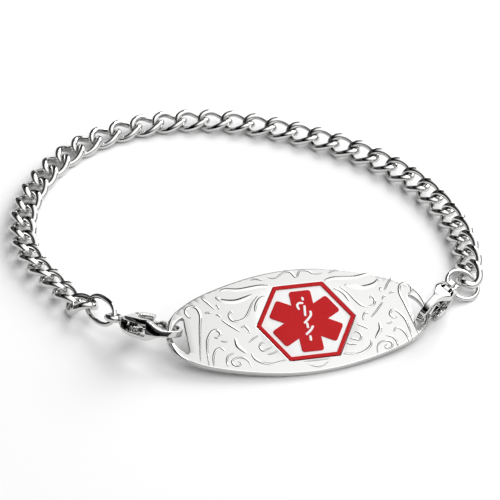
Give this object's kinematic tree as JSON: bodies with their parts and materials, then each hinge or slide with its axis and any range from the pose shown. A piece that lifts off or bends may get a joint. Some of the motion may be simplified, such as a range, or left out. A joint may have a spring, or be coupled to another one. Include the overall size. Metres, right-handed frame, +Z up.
{
  "type": "medical alert bracelet",
  "caption": "Curb chain bracelet with an oval identification plate, an enamel medical emblem and a lobster clasp at each end of the plate.",
  "frame": {"origin": "middle of the bracelet's outline on the surface it lies on", "axes": "+Z up, the plate along the near (-Y) side with its left end towards -X, the chain's loop towards +Y"},
  "size_m": [0.0754, 0.072, 0.0073],
  "materials": {
    "steel": "polished stainless steel",
    "red_enamel": "glossy red enamel",
    "white_enamel": "glossy white enamel"
  },
  "bodies": {
    "bracelet": {"chain_link_01": "steel", "chain_link_02": "steel", "chain_link_03": "steel", "chain_link_04": "steel", "chain_link_05": "steel", "chain_link_06": "steel", "chain_link_07": "steel", "chain_link_08": "steel", "chain_link_09": "steel", "chain_link_10": "steel", "chain_link_11": "steel", "chain_link_12": "steel", "chain_link_13": "steel", "chain_link_14": "steel", "chain_link_15": "steel", "chain_link_16": "steel", "chain_link_17": "steel", "chain_link_18": "steel", "chain_link_19": "steel", "chain_link_20": "steel", "chain_link_21": "steel", "chain_link_22": "steel", "chain_link_23": "steel", "chain_link_24": "steel", "chain_link_25": "steel", "chain_link_26": "steel", "chain_link_27": "steel", "chain_link_28": "steel", "chain_link_29": "steel", "chain_link_30": "steel", "chain_link_31": "steel", "chain_link_32": "steel", "chain_link_33": "steel", "chain_link_34": "steel", "chain_link_35": "steel", "chain_link_36": "steel", "chain_link_37": "steel", "emblem_field": "white_enamel", "emblem_frame": "red_enamel", "emblem_staff": "white_enamel", "emblem_star": "red_enamel", "id_plate": "steel", "jump_ring": "steel", "left_clasp_body": "steel", "left_clasp_rivet": "steel", "oval_ring": "steel", "right_clasp_body": "steel", "right_clasp_rivet": "steel"},
    "left_lever": {"left_clasp_lever": "steel"},
    "right_lever": {"right_clasp_lever": "steel"}
  },
  "joints": [
    {"name": "left_lever_hinge", "type": "hinge", "parent": "bracelet", "child": "left_lever", "pos_m": [-0.01588, -0.02673, 0.00349], "axis": [-0.1469, -0.4073, -0.9014], "range_deg": [0, 20], "stiffness_Nm_per_rad": 0.0002, "springref_deg": -17.19},
    {"name": "right_lever_hinge", "type": "hinge", "parent": "bracelet", "child": "right_lever", "pos_m": [0.03071, -0.0193, 0.00177], "axis": [-0.7514, 0.5633, 0.3437], "range_deg": [0, 4], "stiffness_Nm_per_rad": 0.0002, "springref_deg": -17.19}
  ]
}
